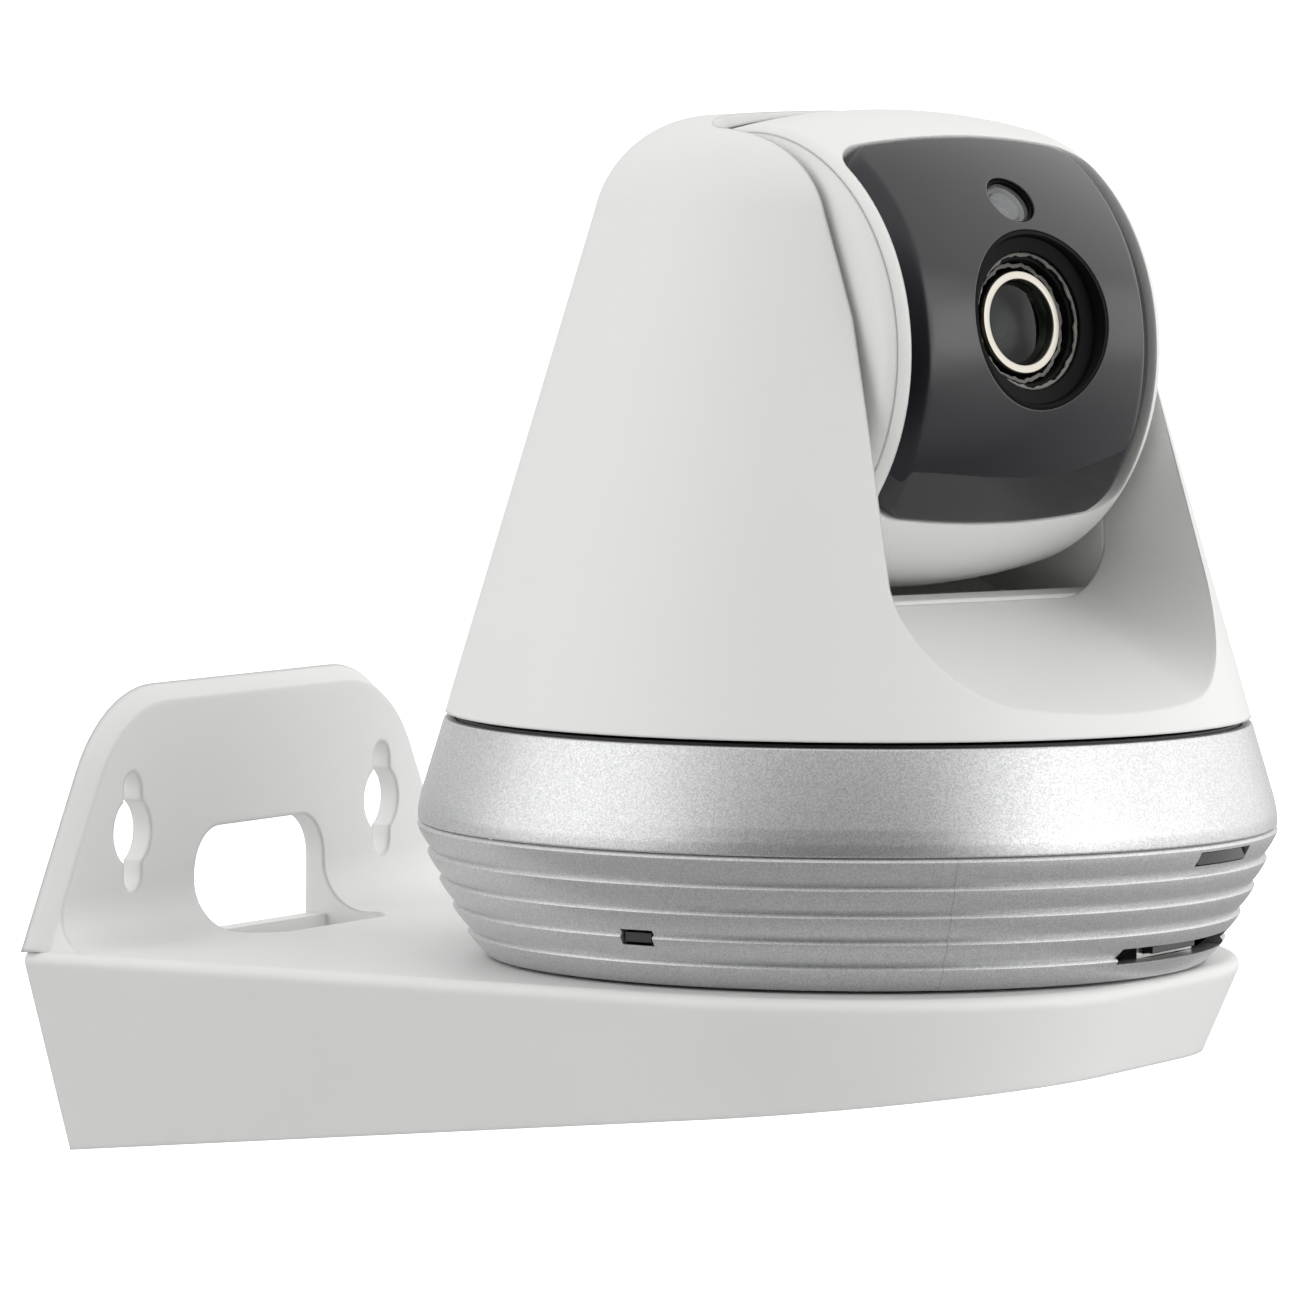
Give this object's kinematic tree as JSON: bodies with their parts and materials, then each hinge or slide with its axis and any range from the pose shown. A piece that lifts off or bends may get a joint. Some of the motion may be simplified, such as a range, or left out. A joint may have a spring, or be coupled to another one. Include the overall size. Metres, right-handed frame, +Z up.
{
  "type": "baby monitor camera",
  "caption": "Pan-and-tilt baby monitor camera on a wall bracket: ribbed silver base, white conical yoke and a barrel head with a black lens panel.",
  "frame": {"origin": "on the wall face of the bracket, midway between the two keyholes at their height", "axes": "+Y into the wall, +Z up, the camera reaches out towards -Y; the head is stored panned 20 degrees towards -X"},
  "size_m": [0.1, 0.1331, 0.1228],
  "materials": {
    "bracket_white": "fine satin",
    "shell_white": "satin",
    "silver_paint": "fine metallic flake, satin",
    "rubber_black": "matt",
    "plastic_grey": "satin",
    "plastic_black": "matt",
    "screw_steel": "plated",
    "brass": "turned",
    "smoked_window": "gloss, smoked",
    "board_green": "solder mask",
    "led_clear": "clear",
    "chip_black": "moulded",
    "tinned_steel": "tinned",
    "card_black": "satin",
    "speaker_steel": "plated",
    "paper_cone": "pressed paper",
    "motor_steel": "plated",
    "gear_nylon": "moulded",
    "panel_black": "high gloss, infrared-clear",
    "hood_black": "matt",
    "ring_nickel": "bright nickel",
    "lens_glass": "coated",
    "filter_glass": "infrared cut",
    "sensor_glass": "cover glass",
    "lamp_dark": "smoked epoxy",
    "axle_steel": "ground"
  },
  "bodies": {
    "bracket_and_base": {"wall_bracket": "bracket_white", "foot_ring": "rubber_black", "bottom_cover": "plastic_grey", "base_screws": "screw_steel", "tripod_insert": "brass", "base_bowl": "silver_paint", "base_band": "silver_paint", "base_deck": "plastic_black", "led_window": "smoked_window", "led_board": "board_green", "status_leds": "led_clear", "main_board": "board_green", "main_chips": "chip_black", "shield_can": "tinned_steel", "microsd_socket": "tinned_steel", "memory_card": "card_black", "power_inlet": "plastic_black", "speaker_frame": "speaker_steel", "speaker_cone": "paper_cone", "wifi_antenna": "board_green", "reset_switch": "plastic_black", "pan_motor": "motor_steel"},
    "camera_yoke": {"yoke_shell": "shell_white", "yoke_liner": "shell_white", "turntable": "plastic_black", "turntable_washers": "gear_nylon", "pan_gear": "gear_nylon", "yoke_screws": "screw_steel", "tilt_motor": "motor_steel", "tilt_train_pins": "screw_steel", "tilt_bushes": "gear_nylon"},
    "camera_head": {"head_front_shell": "shell_white", "head_rear_shell": "shell_white", "head_side_caps": "shell_white", "front_panel": "panel_black", "lens_hood": "hood_black", "lens_ring": "ring_nickel", "lens_barrel": "hood_black", "lens_elements": "lens_glass", "lens_mount": "plastic_black", "filter_coil": "motor_steel", "image_sensor": "sensor_glass", "camera_board": "board_green", "camera_chips": "chip_black", "head_standoffs": "screw_steel", "lamp_board": "board_green", "ir_lamps": "lamp_dark", "light_sensor_lens": "led_clear", "light_sensor_ring": "hood_black", "light_sensor": "sensor_glass", "tilt_axles": "axle_steel", "tilt_gear": "gear_nylon"},
    "pan_pinion": {"pan_pinion": "gear_nylon"},
    "tilt_idler": {"tilt_idler": "gear_nylon"},
    "tilt_pinion": {"tilt_pinion": "gear_nylon"},
    "reset_button": {"reset_button": "plastic_grey"},
    "infrared_filter": {"filter_plate": "plastic_black", "filter_glass": "filter_glass"},
    "screw_washer": {"screw_washer": "plastic_black"},
    "thumb_screw": {"thumb_screw": "screw_steel"}
  },
  "joints": [
    {"name": "pan", "type": "hinge", "parent": "bracket_and_base", "child": "camera_yoke", "pos_m": [0, -0.0831, 0.0133], "axis": [0, 0, 1], "range_deg": [-155, 195]},
    {"name": "tilt", "type": "hinge", "parent": "camera_yoke", "child": "camera_head", "pos_m": [-0.00188, -0.08827, 0.0582], "axis": [-0.9397, 0.342, 0], "range_deg": [-32, 63]},
    {"name": "pan_pinion_spin", "type": "hinge", "parent": "bracket_and_base", "child": "pan_pinion", "pos_m": [0.01377, -0.10276, 0.0093], "axis": [0, 0, 1], "range_deg": [-1010, 810]},
    {"name": "tilt_idler_spin", "type": "hinge", "parent": "camera_yoke", "child": "tilt_idler", "pos_m": [0.02321, -0.0974, 0.0447], "axis": [-0.9397, 0.342, 0], "range_deg": [-135, 75]},
    {"name": "tilt_pinion_spin", "type": "hinge", "parent": "camera_yoke", "child": "tilt_pinion", "pos_m": [0.02321, -0.0974, 0.0372], "axis": [-0.9397, 0.342, 0], "range_deg": [-105, 205]},
    {"name": "reset_press", "type": "slide", "parent": "bracket_and_base", "child": "reset_button", "axis": [0.9986, -0.0523, 0], "range_m": [0, 0.0006], "stiffness_N_per_m": 400},
    {"name": "filter_slide", "type": "slide", "parent": "camera_head", "child": "infrared_filter", "axis": [0.9397, -0.342, 0], "range_m": [0, 0.0082]},
    {"name": "screw_travel", "type": "slide", "parent": "bracket_and_base", "child": "screw_washer", "axis": [0, 0, -1], "range_m": [0, 0.0072]},
    {"name": "screw_turn", "type": "hinge", "parent": "screw_washer", "child": "thumb_screw", "pos_m": [0, -0.0831, -0.0187], "axis": [0, 0, -1], "range_deg": [0, 1800]}
  ],
  "couplings": [
    {"joint": "pan_pinion_spin", "follows": "pan", "ratio": -5},
    {"joint": "tilt_idler_spin", "follows": "tilt", "ratio": -2},
    {"joint": "tilt_pinion_spin", "follows": "tilt", "ratio": 3},
    {"joint": "screw_travel", "follows": "screw_turn", "m_per_rad": 0.00020213}
  ]
}
